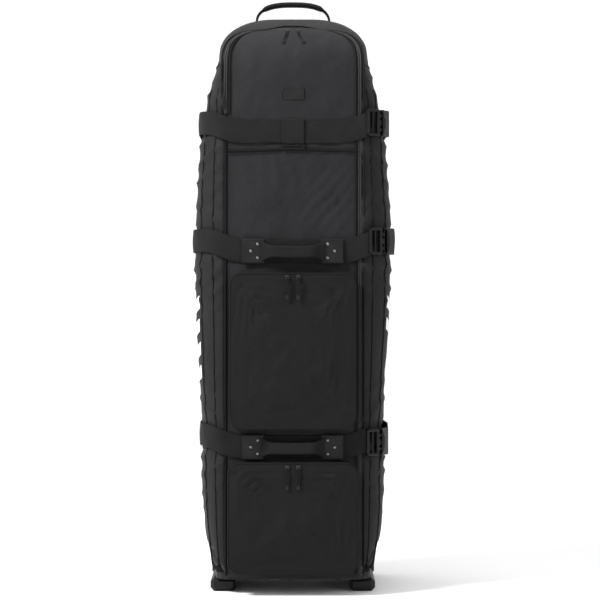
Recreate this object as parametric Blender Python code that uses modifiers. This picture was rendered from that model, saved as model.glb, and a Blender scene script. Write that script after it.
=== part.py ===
"""A soft golf travel case that stands on two rear wheels and moulded feet.

The shell is a set of sewn fabric panels on a moulded tray.  Its front panel opens like
a book on a stitched hinge at its left edge, once the three buckled straps swing clear.
Two gusseted pockets on the front panel open downwards.  Metres, +Z up, the front faces
-Y, and the origin is on the floor under the middle of the case.
"""
import math

import bmesh
import bpy
from mathutils import Matrix, Vector

# Shell
CASE_TOP = 1.270            # top of the hood above the floor
SHELL_BOTTOM = 0.045        # lower edge of the fabric panels
SHELL_THICKNESS = 0.006     # fabric with its padding
FRONT_Y = -0.152            # outer face of the front panel
BACK_Y = 0.165              # outer face of the back panel
HOOD_CENTRE_Y = 0.020       # the hood closes towards this line
FRONT_CORNER_DEPTH = 0.090  # how far the front corners sweep back
BACK_CORNER = 0.045         # radius of the back corners
SEAM_GAP = 0.0025           # room for a zip or a seam between two panels

# Height above the floor and half width of the case, from the base to the hood
SIDE_PROFILE = (
    (0.030, 0.178), (0.110, 0.192), (0.240, 0.202), (0.345, 0.198), (0.450, 0.205),
    (0.680, 0.215), (0.900, 0.210), (1.070, 0.189), (1.170, 0.164),
)
HOOD_START = 1.170          # above this the sides close in an arch
HOOD_SPLIT = 1.150          # seam between the side panels and the hood
HOOD_POWER = 2.5            # squareness of the hood's arch
HOOD_RIM_LIFT = 0.007       # from the panel's arch up to the hood's rim
HOOD_RIM_GAP = 0.006        # from the arch's sides out to the hood's rim

# Front panel
PANEL_HALF = 0.145          # half width of the front panel
ARCH_START = 1.130          # the panel's edges run straight up to here
ARCH_TOP = 1.233            # top of the panel's arch
ARCH_POWER = 4.0
ARCH_FLAT = 0.070           # half width of the flat top of the arch
FRONT_LEAN_START = 1.100    # above this the front leans back into the hood

# Straps and buckles
WEBBING_WIDTH = 0.050
WEBBING_THICKNESS = 0.002
STRAP_STAND_OFF = 0.005     # middle of the webbing, in front of the fabric
STRAPS = {                  # height at the front, and rise towards the sides
    "top": (1.006, 0.020),
    "mid": (0.746, 0.022),
    "low": (0.3205, 0.010),
}
RING_Y = 0.080              # the straps swing on rings at the left side
RING_HALF = 0.011
STRAP_END_TURN = 80.0       # degrees round the right corner, 90 is the front
MALE_TURN = 65.0
FEMALE_TURN = 36.5
BUCKLE_STAND_OFF = 0.0115
BUCKLE_HEIGHT = 0.058
BUCKLE_LENGTH = 0.033
BUCKLE_THICKNESS = 0.009

# Pockets: half width, bottom, top
POCKETS = {
    "mid": (0.136, 0.3615, 0.6975),
    "low": (0.140, 0.0490, 0.2880),
}
POCKET_CORNER = 0.026
POCKET_DEPTH = 0.036
POCKET_WALL = 0.004
FLAP_THICKNESS = 0.004

# Handles
PLATE_OUTER = 0.110
PLATE_INNER = 0.062
PLATE_HEIGHT = 0.054
PLATE_THICKNESS = 0.0055
TOP_HANDLE_HALF = 0.082
TOP_HANDLE_FOOT = 1.2745
TOP_HANDLE_RISE = 0.0335
TOP_HANDLE_SQUARE = 0.75    # below 1 the loop's shoulders are squarer

# Zip sliders and their cord pulls
SLIDER_SIZE = (0.010, 0.005, 0.009)
SLIDER_SPREAD = 0.012       # from the middle of the zip to each slider
CORD_RADIUS = 0.0012
MAIN_PULL = 0.030
POCKET_PULL = 0.045

# Base and wheels
WHEEL_RADIUS = 0.042
WHEEL_WIDTH = 0.028
WHEEL_X = 0.155
WHEEL_Y = 0.150
AXLE_RADIUS = 0.004
HOUSING_LOW = (0.125, 0.092, 0.012)
HOUSING_HIGH = (0.186, 0.186, 0.100)
FOOT_INNER, FOOT_OUTER = 0.124, 0.181       # the moulded corner skids
FOOT_FRONT, FOOT_BACK = -0.108, 0.085
TRAY_BOTTOM = 0.030
TRAY_TOP = 0.044

NAME = "golf_travel_case"
PARTS = bpy.data.collections.new(NAME)
CUTTERS = bpy.data.collections.new(NAME + "_cutters")


def start_scene():
    """Clear the scene and add the two collections."""
    for old in list(bpy.data.objects):
        bpy.data.objects.remove(old, do_unlink=True)
    bpy.context.scene.collection.children.link(PARTS)
    bpy.context.scene.collection.children.link(CUTTERS)


def make_material(name, color, roughness, metallic=0.0):
    made = bpy.data.materials.new(name)
    made.use_nodes = True
    shader = made.node_tree.nodes["Principled BSDF"]
    shader.inputs["Base Color"].default_value = (*color, 1.0)
    shader.inputs["Roughness"].default_value = roughness
    shader.inputs["Metallic"].default_value = metallic
    return made


FABRIC = make_material("ballistic_fabric", (0.022, 0.022, 0.025), 0.75)
LINING = make_material("foam_lining", (0.05, 0.05, 0.052), 0.9)
BOARD = make_material("stiffener_board", (0.10, 0.10, 0.10), 0.6)
WEBBING = make_material("webbing", (0.020, 0.020, 0.021), 0.7)
PLASTIC = make_material("black_plastic", (0.012, 0.012, 0.013), 0.45)
RUBBER = make_material("wheel_rubber", (0.018, 0.018, 0.018), 0.8)
HUB = make_material("hub_plastic", (0.05, 0.05, 0.055), 0.4)
STEEL = make_material("axle_steel", (0.55, 0.55, 0.57), 0.3, 1.0)
ZIP_METAL = make_material("zip_metal", (0.04, 0.04, 0.045), 0.35, 0.8)
CORD = make_material("pull_cord", (0.015, 0.015, 0.015), 0.7)


# ---------------------------------------------------------------- helpers

def add_object(name, mesh, material, collection=PARTS):
    made = bpy.data.objects.new(name, mesh)
    mesh.materials.append(material)
    collection.objects.link(made)
    return made


def mesh_from(name, bm):
    mesh = bpy.data.meshes.new(name)
    bm.to_mesh(mesh)
    bm.free()
    return mesh


def box_mesh(name, size):
    bm = bmesh.new()
    bmesh.ops.create_cube(bm, size=1.0)
    bmesh.ops.scale(bm, vec=size, verts=bm.verts)
    return mesh_from(name, bm)


def add_bevel(piece, width, segments=1):
    bevel = piece.modifiers.new("rounded_edges", "BEVEL")
    bevel.width = width
    bevel.segments = segments
    bevel.limit_method = "ANGLE"


def block(name, low, high, material, bevel=0.0, collection=PARTS):
    """A box between two corners, with its origin at its middle."""
    low, high = Vector(low), Vector(high)
    made = add_object(name, box_mesh(name, high - low), material, collection)
    made.location = (low + high) / 2
    if bevel:
        add_bevel(made, bevel)
    return made


def hide_cutter(cutter):
    cutter.hide_render = True
    cutter.display_type = "WIRE"


def add_boolean(piece, cutter, operation="DIFFERENCE"):
    change = piece.modifiers.new(cutter.name, "BOOLEAN")
    change.operation = operation
    change.solver = "EXACT"
    change.object = cutter
    hide_cutter(cutter)


def sheet(name, rows, thickness, material, closed=False, offset=-1.0, mirror=False):
    """A sheet through rows of points, thickened; its faces point to the rows' left."""
    bm = bmesh.new()
    grid = [[bm.verts.new(point) for point in row] for row in rows]
    for lower, upper in zip(grid, grid[1:]):
        count = len(lower)
        for i in range(count if closed else count - 1):
            j = (i + 1) % count
            bm.faces.new((lower[i], lower[j], upper[j], upper[i]))
    bmesh.ops.remove_doubles(bm, verts=bm.verts, dist=0.0001)
    bmesh.ops.dissolve_degenerate(bm, edges=bm.edges, dist=0.0001)
    made = add_object(name, mesh_from(name, bm), material)
    if mirror:
        twin = made.modifiers.new("other_half", "MIRROR")
        twin.merge_threshold = 0.0001
    thick = made.modifiers.new("thickness", "SOLIDIFY")
    thick.thickness = thickness
    thick.offset = offset
    return made


def rounded_outline(half_x, half_y, radius, steps=5):
    """Corner arcs of a rounded rectangle, anticlockwise from the right side."""
    points = []
    for corner, (sx, sy) in enumerate(((1, 1), (-1, 1), (-1, -1), (1, -1))):
        for step in range(steps):
            turn = math.radians(90 * (corner + step / (steps - 1)))
            points.append((sx * (half_x - radius) + radius * math.cos(turn),
                           sy * (half_y - radius) + radius * math.sin(turn)))
    return points


def plate(name, outline, thickness, material, location, upright=True):
    """A flat outline as a plate; upright plates stand in the XZ plane."""
    curve = bpy.data.curves.new(name, "CURVE")
    curve.dimensions = "2D"
    curve.fill_mode = "BOTH"
    curve.extrude = thickness / 2
    spline = curve.splines.new("POLY")
    spline.points.add(len(outline) - 1)
    for point, (x, y) in zip(spline.points, outline):
        point.co = (x, y, 0.0, 1.0)
    spline.use_cyclic_u = True
    guide = bpy.data.objects.new(name + "_outline", curve)
    PARTS.objects.link(guide)
    bpy.context.view_layer.update()
    seen = guide.evaluated_get(bpy.context.evaluated_depsgraph_get())
    mesh = bpy.data.meshes.new_from_object(seen)
    bpy.data.objects.remove(guide, do_unlink=True)
    bm = bmesh.new()
    bm.from_mesh(mesh)
    bmesh.ops.remove_doubles(bm, verts=bm.verts, dist=0.00005)
    if upright:
        bmesh.ops.rotate(bm, verts=bm.verts, matrix=Matrix.Rotation(math.pi / 2, 3, "X"))
    bm.to_mesh(mesh)
    bm.free()
    mesh.name = name
    mesh.materials.clear()
    made = add_object(name, mesh, material)
    made.location = location
    return made


def put_origin(piece, point):
    """Move a piece's origin onto its joint's axis, without moving the piece."""
    shift = Vector(point) - piece.location
    piece.data.transform(Matrix.Translation(-shift))
    piece.location = point


def smooth_step(value):
    value = min(1.0, max(0.0, value))
    return value * value * (3 - 2 * value)


# ---------------------------------------------------------------- shape of the case

def arch(value, power):
    """1 at the foot of an arch and 0 at its top."""
    value = min(1.0, max(0.0, value))
    return (1.0 - value ** power) ** (1.0 / power)


def half_width(z):
    """Half width of the case at a height."""
    points = SIDE_PROFILE
    last = len(points) - 1
    if z >= HOOD_START:
        return points[last][1] * arch((z - HOOD_START) / (CASE_TOP - HOOD_START), HOOD_POWER)
    if z <= points[0][0]:
        return points[0][1]
    i = next(k for k in range(last) if z <= points[k + 1][0])
    before, low = points[max(i - 1, 0)], points[i]
    high, after = points[i + 1], points[min(i + 2, last)]
    span = high[0] - low[0]
    slope_low = (high[1] - before[1]) / (high[0] - before[0]) * span
    slope_high = (after[1] - low[1]) / (after[0] - low[0]) * span
    t = (z - low[0]) / span
    return (low[1] * (1 + 2 * t) * (1 - t) ** 2 + slope_low * t * (1 - t) ** 2
            + high[1] * t * t * (3 - 2 * t) + slope_high * t * t * (t - 1))


def front_y(z):
    lean = arch((z - FRONT_LEAN_START) / (CASE_TOP - FRONT_LEAN_START), HOOD_POWER)
    return HOOD_CENTRE_Y + (FRONT_Y - HOOD_CENTRE_Y) * lean


def back_y(z):
    curve_start = HOOD_START - 0.01
    lean = arch((z - curve_start) / (CASE_TOP - curve_start), HOOD_POWER)
    return HOOD_CENTRE_Y + (BACK_Y - HOOD_CENTRE_Y) * lean


def panel_edge(z):
    """Half width of the front panel at a height; 0 above its arch."""
    return PANEL_HALF * arch((z - ARCH_START) / (ARCH_TOP - ARCH_START), ARCH_POWER)


def half_section(z, edge, inset=0.0):
    """Points round the right half of the case, from an edge of the front to the back seam."""
    width, front, back = half_width(z) - inset, front_y(z) + inset, back_y(z) - inset
    squeeze = (back - front) / (BACK_Y - FRONT_Y)
    flat = min(max(min(PANEL_HALF, 0.8 * width), edge), width)
    deep = FRONT_CORNER_DEPTH * squeeze
    back_radius = min(BACK_CORNER * squeeze, 0.9 * width)
    points = [(edge + (flat - edge) * k / 2, front) for k in range(3)]
    for step in range(1, 6):
        turn = math.radians(90 - 18 * step)
        points.append((flat + (width - flat) * math.cos(turn),
                       front + deep * (1 - math.sin(turn))))
    for step in range(0, 5):
        turn = math.radians(22.5 * step)
        points.append((width - back_radius * (1 - math.cos(turn)),
                       back - back_radius * (1 - math.sin(turn))))
    return points


# ---------------------------------------------------------------- shell

def levels(low, high, count):
    return [low + (high - low) * k / (count - 1) for k in range(count)]


def wheel_cutter(side):
    """Clears the fabric and the tray where a wheel housing sits."""
    clear = 0.001
    inner = HOUSING_LOW[0] - clear
    outer = HOUSING_HIGH[0] + 0.03
    low_x, high_x = sorted((side * inner, side * outer))
    name = "cut_wheel_" + ("left" if side < 0 else "right")
    return block(name, (low_x, HOUSING_LOW[1] - clear, -0.01),
                 (high_x, HOUSING_HIGH[1] + 0.03, HOUSING_HIGH[2] + clear), PLASTIC,
                 collection=CUTTERS)


def make_side_panel(name, side, cutter):
    rows = []
    for z in levels(SHELL_BOTTOM, HOOD_SPLIT - SEAM_GAP, 15):
        points = half_section(z, PANEL_HALF + SEAM_GAP)[2:]
        row = [(side * x, y, z) for x, y in points]
        rows.append(row if side > 0 else row[::-1])
    panel = sheet(name, rows, SHELL_THICKNESS, FABRIC)
    add_boolean(panel, cutter)
    return panel


def make_back_panel(cutters):
    rows = []
    for z in levels(SHELL_BOTTOM, HOOD_SPLIT - SEAM_GAP, 15):
        reach = half_width(z) - BACK_CORNER - SEAM_GAP
        rows.append([(reach * k, BACK_Y, z) for k in (1.0, 0.0, -1.0)])
    panel = sheet("back_panel", rows, SHELL_THICKNESS, FABRIC)
    for cutter in cutters:
        add_boolean(panel, cutter)


def panel_rows():
    """Heights and half widths of the front panel, from its foot to its flat top."""
    straight = [(z, PANEL_HALF) for z in levels(SHELL_BOTTOM + 0.001, ARCH_START, 10)]
    curved = [(z, panel_edge(z)) for z in levels(ARCH_START, ARCH_TOP, 9)[1:-1]]
    return straight + curved + [(ARCH_TOP, ARCH_FLAT)]


def make_hood():
    """The hood: open along the front panel's arch, and closed over its top."""
    edges = [(HOOD_SPLIT, PANEL_HALF + HOOD_RIM_GAP)]
    edges += [(z + HOOD_RIM_LIFT, half + HOOD_RIM_GAP) for z, half in panel_rows() if z > HOOD_SPLIT]
    closed = ARCH_TOP + HOOD_RIM_LIFT + SEAM_GAP
    edges += [(closed + (CASE_TOP - closed) * math.sin(math.radians(15 * k)), 0.0)
              for k in range(7)]
    rows = []
    for z, edge in edges:
        row = [(x, y, z) for x, y in half_section(z, edge)]
        rows.append(row + [(0.0, row[-1][1], z)])
    sheet("hood_top", rows, SHELL_THICKNESS, FABRIC, mirror=True)
    clear = SHELL_THICKNESS + 0.0045
    rows = []
    for z, lean in zip(levels(HOOD_SPLIT + 0.004, 1.222, 5), (0.0, 0.0, 0.002, 0.006, 0.014)):
        row = [(x - lean, y - lean, z) for x, y in half_section(z, 0.0, clear)[7:]]
        rows.append(row + [(0.0, row[-1][1], z)])
    sheet("hood_padding", rows, 0.008, LINING, mirror=True)


def make_front_panel():
    rows = [[(half * k / 4, front_y(z), z) for k in range(-4, 5)] for z, half in panel_rows()]
    panel = sheet("front_panel", rows, SHELL_THICKNESS, FABRIC)
    put_origin(panel, (-PANEL_HALF - SEAM_GAP, FRONT_Y, SHELL_BOTTOM))


def make_shell():
    cutters = {side: wheel_cutter(side) for side in (-1, 1)}
    make_side_panel("side_panel_left", -1, cutters[-1])
    make_side_panel("side_panel_right", 1, cutters[1])
    make_back_panel(cutters.values())
    make_hood()
    make_front_panel()
    block("back_board", (-0.140, 0.150, 0.112), (0.140, 0.153, 1.120), BOARD, 0.001)
    tray = plate("base_tray", rounded_outline(0.170, 0.146, 0.045), TRAY_TOP - TRAY_BOTTOM,
                 PLASTIC, (0.0, 0.006, (TRAY_TOP + TRAY_BOTTOM) / 2), upright=False)
    for cutter in cutters.values():
        add_boolean(tray, cutter)


# ---------------------------------------------------------------- base and wheels

def turned(name, profile, x, material):
    """A ring turned about the wheel's axle, from (radius, along axle) points."""
    bm = bmesh.new()
    points = [bm.verts.new((radius, 0.0, along)) for radius, along in profile]
    for a, b in zip(points, points[1:] + points[:1]):
        bm.edges.new((a, b))
    made = add_object(name, mesh_from(name, bm), material)
    made.rotation_euler = (0.0, math.pi / 2, 0.0)
    made.location = (x, WHEEL_Y, WHEEL_RADIUS)
    turn = made.modifiers.new("turn", "SCREW")
    turn.steps = 32
    turn.render_steps = 32
    turn.use_merge_vertices = True
    turn.merge_threshold = 0.0001
    return made


def make_wheel(name, side):
    x = side * WHEEL_X
    half = WHEEL_WIDTH / 2
    rim = 0.030
    turned("tyre_" + name, ((WHEEL_RADIUS - 0.004, half), (WHEEL_RADIUS, half - 0.006),
                            (WHEEL_RADIUS, 0.006 - half), (WHEEL_RADIUS - 0.004, -half),
                            (rim, -half), (rim, half)), x, RUBBER)
    bore = AXLE_RADIUS + 0.00035
    web = half - 0.008
    turned("hub_" + name, ((rim - 0.0004, half), (rim - 0.0004, -half), (rim - 0.005, -half),
                           (rim - 0.006, -web), (0.011, -web), (0.010, -half), (bore, -half),
                           (bore, half), (0.010, half), (0.011, web), (rim - 0.006, web),
                           (rim - 0.005, half)), x, HUB)


def cylinder_x(name, radius, low_x, high_x, material, collection=PARTS):
    bm = bmesh.new()
    bmesh.ops.create_cone(bm, cap_ends=True, segments=24, radius1=radius, radius2=radius,
                          depth=high_x - low_x)
    bmesh.ops.rotate(bm, verts=bm.verts, matrix=Matrix.Rotation(math.pi / 2, 3, "Y"))
    made = add_object(name, mesh_from(name, bm), material, collection)
    made.location = ((low_x + high_x) / 2, WHEEL_Y, WHEEL_RADIUS)
    return made


def make_housing(name, side):
    low_x, high_x = sorted((side * HOUSING_LOW[0], side * HOUSING_HIGH[0]))
    housing = block("wheel_housing_" + name, (low_x, *HOUSING_LOW[1:]),
                    (high_x, *HOUSING_HIGH[1:]), PLASTIC, 0.006)
    well = WHEEL_WIDTH / 2 + 0.0025
    middle = side * WHEEL_X
    cut = block("cut_well_" + name, (middle - well, HOUSING_LOW[1] + 0.006, -0.01),
                (middle + well, HOUSING_HIGH[1] + 0.02, HOUSING_HIGH[2] - 0.008), PLASTIC,
                collection=CUTTERS)
    add_boolean(housing, cut)
    hole = cylinder_x("cut_axle_" + name, AXLE_RADIUS + 0.00035, low_x - 0.01, high_x + 0.01,
                      STEEL, CUTTERS)
    add_boolean(housing, hole)
    cylinder_x("axle_" + name, AXLE_RADIUS, low_x + 0.002, high_x - 0.002, STEEL)


def make_base():
    gap = 0.0004
    for name, side in (("left", -1), ("right", 1)):
        make_wheel(name, side)
        make_housing(name, side)
        low_x, high_x = sorted((side * FOOT_INNER, side * FOOT_OUTER))
        block("foot_" + name, (low_x, FOOT_FRONT, 0.0), (high_x, FOOT_BACK, TRAY_BOTTOM - gap),
              PLASTIC, 0.008)


# ---------------------------------------------------------------- straps

def strap_half_width(height):
    """Half width of the case under a strap, at the wider edge of its band."""
    return max(half_width(height - 0.025), half_width(height + 0.045))


def corner_point(height, turn, offset):
    """A point round the right front corner: turn 90 is the front and 0 the side."""
    turn = math.radians(turn)
    wide = strap_half_width(height) - PANEL_HALF + offset
    return (PANEL_HALF + wide * math.cos(turn),
            FRONT_Y + FRONT_CORNER_DEPTH - (FRONT_CORNER_DEPTH + offset) * math.sin(turn))


def ribbon(name, points, material=WEBBING, width=WEBBING_WIDTH):
    """Webbing through (x, y, middle height) points."""
    rows = [[(x, y, z - width / 2), (x, y, z + width / 2)] for x, y, z in points]
    return sheet(name, rows, WEBBING_THICKNESS, material, offset=0.0)


def strap_height(name, x):
    height, rise = STRAPS[name]
    return height + rise * smooth_step((abs(x) - 0.100) / 0.090)


def make_strap(name):
    height = STRAPS[name][0]
    side_x = strap_half_width(height) + STRAP_STAND_OFF
    corner_y = FRONT_Y + FRONT_CORNER_DEPTH
    path = [(-side_x, y) for y in levels(RING_Y - RING_HALF - 0.002, corner_y, 3)]
    for step in range(1, 6):
        x, y = corner_point(height, 15 * step, STRAP_STAND_OFF)
        path.append((-x, y))
    front = FRONT_Y - STRAP_STAND_OFF
    path += [(x, front) for x in levels(-PANEL_HALF, PANEL_HALF - 0.02, 9)]
    path.append((PANEL_HALF, front - 0.002))
    path.append(corner_point(height, STRAP_END_TURN, BUCKLE_STAND_OFF - 0.003))
    strap = ribbon("strap_" + name, [(x, y, strap_height(name, x)) for x, y in path])
    put_origin(strap, (-side_x, RING_Y, strap_height(name, side_x)))


def buckle_place(name, turn):
    """Where a buckle half sits on the right corner, with its X axis along the strap."""
    height = STRAPS[name][0]
    x, y = corner_point(height, turn, BUCKLE_STAND_OFF)
    ahead = corner_point(height, turn - 1, BUCKLE_STAND_OFF)
    heading = math.atan2(ahead[1] - y, ahead[0] - x)
    place = Matrix.Translation((x, y, strap_height(name, x)))
    return place @ Matrix.Rotation(heading, 4, "Z")


def buckle_block(name, place, low_x, high_x, height, thickness, bevel, collection=PARTS):
    made = add_object(name, box_mesh(name, (high_x - low_x, thickness, height)), PLASTIC,
                      collection)
    made.matrix_world = place @ Matrix.Translation(((low_x + high_x) / 2, 0.0, 0.0))
    if bevel:
        add_bevel(made, bevel)
    return made


def make_buckle(name):
    half = BUCKLE_LENGTH / 2
    male = buckle_place(name, MALE_TURN)
    tongue_length, tongue_height, tongue_thickness = 0.008, 0.040, 0.003
    body = buckle_block("buckle_male_" + name, male, -half, half, BUCKLE_HEIGHT,
                        BUCKLE_THICKNESS, 0.002)
    tongue = buckle_block("add_tongue_" + name, male, half - 0.004, half + tongue_length,
                          tongue_height, tongue_thickness, 0.0, CUTTERS)
    add_boolean(body, tongue, "UNION")
    female = buckle_place(name, FEMALE_TURN)
    socket = buckle_block("buckle_female_" + name, female, -half, half, BUCKLE_HEIGHT,
                          BUCKLE_THICKNESS + 0.002, 0.002)
    mouth = buckle_block("cut_mouth_" + name, female, -half - 0.005, 0.000,
                         tongue_height + 0.004, 0.0075, 0.0, CUTTERS)
    add_boolean(socket, mouth)


def make_side_webbing(name):
    """Webbing behind the buckle on the right, and behind the ring on the left."""
    height = STRAPS[name][0]
    side_x = strap_half_width(height)
    corner_y = FRONT_Y + FRONT_CORNER_DEPTH
    path = [corner_point(height, turn, BUCKLE_STAND_OFF - 0.002) for turn in (19, 9)]
    path += [(side_x + off, y) for off, y in ((0.007, corner_y + 0.01), (0.005, 0.0), (0.005, 0.105))]
    ribbon("buckle_webbing_" + name, [(x, y, strap_height(name, x)) for x, y in path])
    ring_x = side_x + STRAP_STAND_OFF
    ring_z = strap_height(name, ring_x)
    bar = 0.005
    half_z = WEBBING_WIDTH / 2 + 0.0015 + bar
    ring = block("ring_" + name, (-ring_x - 0.003, RING_Y - RING_HALF, ring_z - half_z),
                 (-ring_x + 0.003, RING_Y + RING_HALF, ring_z + half_z), PLASTIC, 0.0015)
    hole = block("cut_ring_" + name,
                 (-ring_x - 0.01, RING_Y - RING_HALF + bar, ring_z - half_z + bar),
                 (-ring_x + 0.01, RING_Y + RING_HALF - bar, ring_z + half_z - bar), PLASTIC,
                 collection=CUTTERS)
    add_boolean(ring, hole)
    anchor = [(-side_x - 0.0025, y, ring_z) for y in (RING_Y + RING_HALF + 0.002, 0.108, 0.120)]
    ribbon("ring_webbing_" + name, anchor)


def make_keeper():
    """The loop that slides on the top strap, and its tri-glide bar."""
    height = STRAPS["top"][0]
    front = FRONT_Y - STRAP_STAND_OFF
    half_x, half_z = 0.025, WEBBING_WIDTH / 2 + 0.0035
    keeper = block("strap_keeper", (-half_x, front - 0.0045, height - half_z),
                   (half_x, front + 0.0042, height + half_z), WEBBING, 0.0006)
    hole = block("cut_keeper", (-half_x - 0.01, front - 0.0025, height - half_z + 0.0015),
                 (half_x + 0.01, front + 0.0024, height + half_z - 0.0015), WEBBING,
                 collection=CUTTERS)
    add_boolean(keeper, hole)
    block("tri_glide", (-0.026, front - 0.006, height - half_z - 0.0105),
          (0.026, front + 0.001, height - half_z - 0.0005), PLASTIC, 0.002)


def make_carry_handle(name):
    """Two riveted plates on a backing patch, and the grip that tips between them."""
    height = STRAPS[name][0]
    back = FRONT_Y - STRAP_STAND_OFF - WEBBING_THICKNESS / 2 - 0.0005
    patch = back - 0.0015
    front = back - PLATE_THICKNESS
    outline = [(-PLATE_OUTER, back), (PLATE_OUTER, back), (PLATE_OUTER, front),
               (PLATE_INNER, front), (PLATE_INNER, patch), (-PLATE_INNER, patch),
               (-PLATE_INNER, front), (-PLATE_OUTER, front)]
    plate("handle_base_" + name, outline, PLATE_HEIGHT, WEBBING, (0.0, 0.0, height),
          upright=False)
    pivot_y = front - 0.001
    reach = PLATE_INNER - 0.001
    rows = []
    for step in range(9):
        t = step / 8
        swell = math.sin(math.pi * t)
        x = -reach + 2 * reach * t
        y = pivot_y - 0.011 * smooth_step(1.6 * swell)
        half_z = 0.005 + 0.009 * smooth_step(2 * swell)
        half_y = 0.0018 + 0.0025 * smooth_step(1.4 * swell)
        ring = rounded_outline(half_y, half_z, half_y * 0.9, 3)
        rows.append([(x, y + dy, height + dz) for dy, dz in ring])
    grip = grip_solid("grip_" + name, rows, WEBBING)
    put_origin(grip, (0.0, pivot_y, height))


def grip_solid(name, rows, material):
    """A closed loft through ring-shaped rows, capped at both ends."""
    bm = bmesh.new()
    grid = [[bm.verts.new(point) for point in row] for row in rows]
    count = len(grid[0])
    for near, far in zip(grid, grid[1:]):
        for i in range(count):
            j = (i + 1) % count
            bm.faces.new((near[i], near[j], far[j], far[i]))
    bm.faces.new(grid[0])
    bm.faces.new(grid[-1])
    bmesh.ops.recalc_face_normals(bm, faces=bm.faces)
    return add_object(name, mesh_from(name, bm), material)


# ---------------------------------------------------------------- pockets, zips, top handle

def make_pocket(name):
    half_x, bottom, top = POCKETS[name]
    middle = (bottom + top) / 2
    half_z = (top - bottom) / 2
    clear = 0.0005
    mouth_y = FRONT_Y - POCKET_DEPTH
    outline = rounded_outline(half_x, half_z, POCKET_CORNER)
    rows = [[(x, y, middle + z) for x, z in outline] for y in (FRONT_Y - clear, mouth_y)]
    sheet("pocket_%s_box" % name, rows, POCKET_WALL, FABRIC, closed=True)
    flap = plate("pocket_%s_flap" % name, outline, FLAP_THICKNESS, FABRIC,
                 (0.0, mouth_y - clear - FLAP_THICKNESS / 2, middle))
    put_origin(flap, (0.0, mouth_y - clear, bottom))
    slider_y = mouth_y - clear - FLAP_THICKNESS - 0.0008 - SLIDER_SIZE[1] / 2
    make_sliders(name, slider_y, top - 0.008, 0.0, POCKET_PULL)


def make_sliders(zip_name, y, z, lean, pull):
    """Two zip sliders and the cord loops that hang from them; lean tips a loop forwards."""
    half = Vector(SLIDER_SIZE) / 2
    for side_name, side in (("left", -1), ("right", 1)):
        middle = Vector((side * SLIDER_SPREAD, y, z))
        block("slider_%s_%s" % (zip_name, side_name), middle - half, middle + half,
              ZIP_METAL, 0.001)
        pivot = middle + Vector((0.0, -half.y - CORD_RADIUS - 0.0006, -half.z + 0.002))
        make_pull("pull_%s_%s" % (zip_name, side_name), pivot, lean, pull)


def make_pull(name, pivot, lean, length):
    """A closed loop of cord that hangs from its pivot."""
    curve = bpy.data.curves.new(name, "CURVE")
    curve.dimensions = "3D"
    curve.bevel_depth = CORD_RADIUS
    curve.bevel_resolution = 1
    half_x, steps = 0.0035, 14
    spline = curve.splines.new("POLY")
    spline.points.add(steps - 1)
    for k, point in enumerate(spline.points):
        turn = 2 * math.pi * k / steps
        down = length / 2 * (1 - math.cos(turn))
        slack = math.sin(turn)
        point.co = (half_x * slack, -down * math.sin(lean), -down * math.cos(lean), 1.0)
    spline.use_cyclic_u = True
    loop = bpy.data.objects.new(name, curve)
    curve.materials.append(CORD)
    PARTS.objects.link(loop)
    loop.location = pivot


def make_top_handle():
    """A padded loop over the hood that tips on its two sewn feet."""
    curve = bpy.data.curves.new("top_handle", "CURVE")
    curve.dimensions = "3D"
    curve.bevel_depth = 0.004
    curve.bevel_resolution = 2
    curve.use_fill_caps = True
    steps = 20
    spline = curve.splines.new("POLY")
    spline.points.add(steps)
    for k, point in enumerate(spline.points):
        turn = math.pi * (1 - k / steps)
        x = TOP_HANDLE_HALF * math.copysign(abs(math.cos(turn)) ** TOP_HANDLE_SQUARE, math.cos(turn))
        z = TOP_HANDLE_RISE * math.sin(turn) if 0 < k < steps else 0.0
        point.co = (x, 0.0, z, 1.0)
    handle = bpy.data.objects.new("top_handle", curve)
    curve.materials.append(WEBBING)
    PARTS.objects.link(handle)
    handle.location = (0.0, HOOD_CENTRE_Y, TOP_HANDLE_FOOT)


def main():
    start_scene()
    make_shell()
    make_base()
    for name in STRAPS:
        make_strap(name)
        make_buckle(name)
        make_side_webbing(name)
    make_keeper()
    for name in ("mid", "low"):
        make_carry_handle(name)
        make_pocket(name)
    main_zip_z = ARCH_TOP - 0.0055
    main_zip_y = front_y(main_zip_z - 0.005) - 0.0012 - SLIDER_SIZE[1] / 2
    make_sliders("main", main_zip_y, main_zip_z, math.radians(26), MAIN_PULL)
    make_top_handle()


main()
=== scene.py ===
"""The looks of the golf travel case: sewn fabric, webbing, buckles, zips and wheels."""
import math

import bmesh
import bpy
from mathutils import Matrix, Vector, noise


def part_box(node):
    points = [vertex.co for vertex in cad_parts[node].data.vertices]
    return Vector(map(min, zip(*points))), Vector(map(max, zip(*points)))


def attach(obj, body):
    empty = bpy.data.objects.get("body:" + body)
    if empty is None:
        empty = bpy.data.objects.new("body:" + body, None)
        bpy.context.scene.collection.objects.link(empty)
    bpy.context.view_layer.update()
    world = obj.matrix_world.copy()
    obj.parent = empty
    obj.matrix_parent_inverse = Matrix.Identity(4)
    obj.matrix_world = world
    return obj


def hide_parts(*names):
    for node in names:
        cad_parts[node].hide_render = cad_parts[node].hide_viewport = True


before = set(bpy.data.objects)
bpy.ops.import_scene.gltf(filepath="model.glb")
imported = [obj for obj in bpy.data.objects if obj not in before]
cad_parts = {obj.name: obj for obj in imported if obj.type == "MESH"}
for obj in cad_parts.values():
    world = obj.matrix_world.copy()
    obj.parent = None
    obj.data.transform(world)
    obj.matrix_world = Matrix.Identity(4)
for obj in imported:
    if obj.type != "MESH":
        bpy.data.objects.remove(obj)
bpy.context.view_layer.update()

# ---------------------------------------------------------------- sizes from the frame

def corners(node):
    low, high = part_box(node)
    return Vector(low), Vector(high)


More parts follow.
